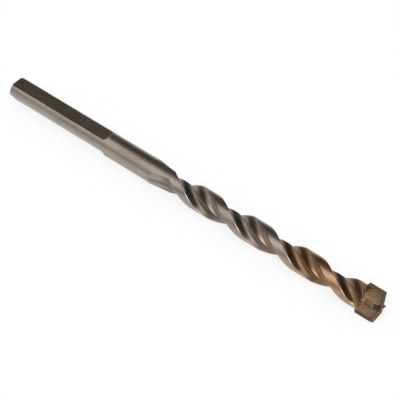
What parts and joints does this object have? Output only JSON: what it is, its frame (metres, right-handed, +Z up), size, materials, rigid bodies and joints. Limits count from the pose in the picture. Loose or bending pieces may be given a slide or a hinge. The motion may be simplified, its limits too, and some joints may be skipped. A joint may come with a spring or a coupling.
{
  "type": "masonry drill bit",
  "caption": "Masonry drill bit with flats ground on its shank, a round neck, right-hand helical flutes and a cross of hard metal cutters brazed into its head.",
  "frame": {"origin": "on the surface it lies on, under the middle of its length and its centre line", "axes": "+X along the bit towards its cutting tip, +Z up, with the first shank flat facing up"},
  "size_m": [0.15, 0.0082, 0.0082],
  "materials": {
    "steel": "blasted and ground steel, with a bronze heat tint towards the head",
    "carbide": "ground and blasted hard metal with a brown film",
    "braze": "thin line of braze metal, dulled by heat"
  },
  "bodies": {
    "root": {"bit_body": "steel", "main_cutter": "carbide", "main_braze": "braze", "side_cutter_a": "carbide", "side_braze_a": "braze", "side_cutter_b": "carbide", "side_braze_b": "braze"}
  },
  "joints": []
}
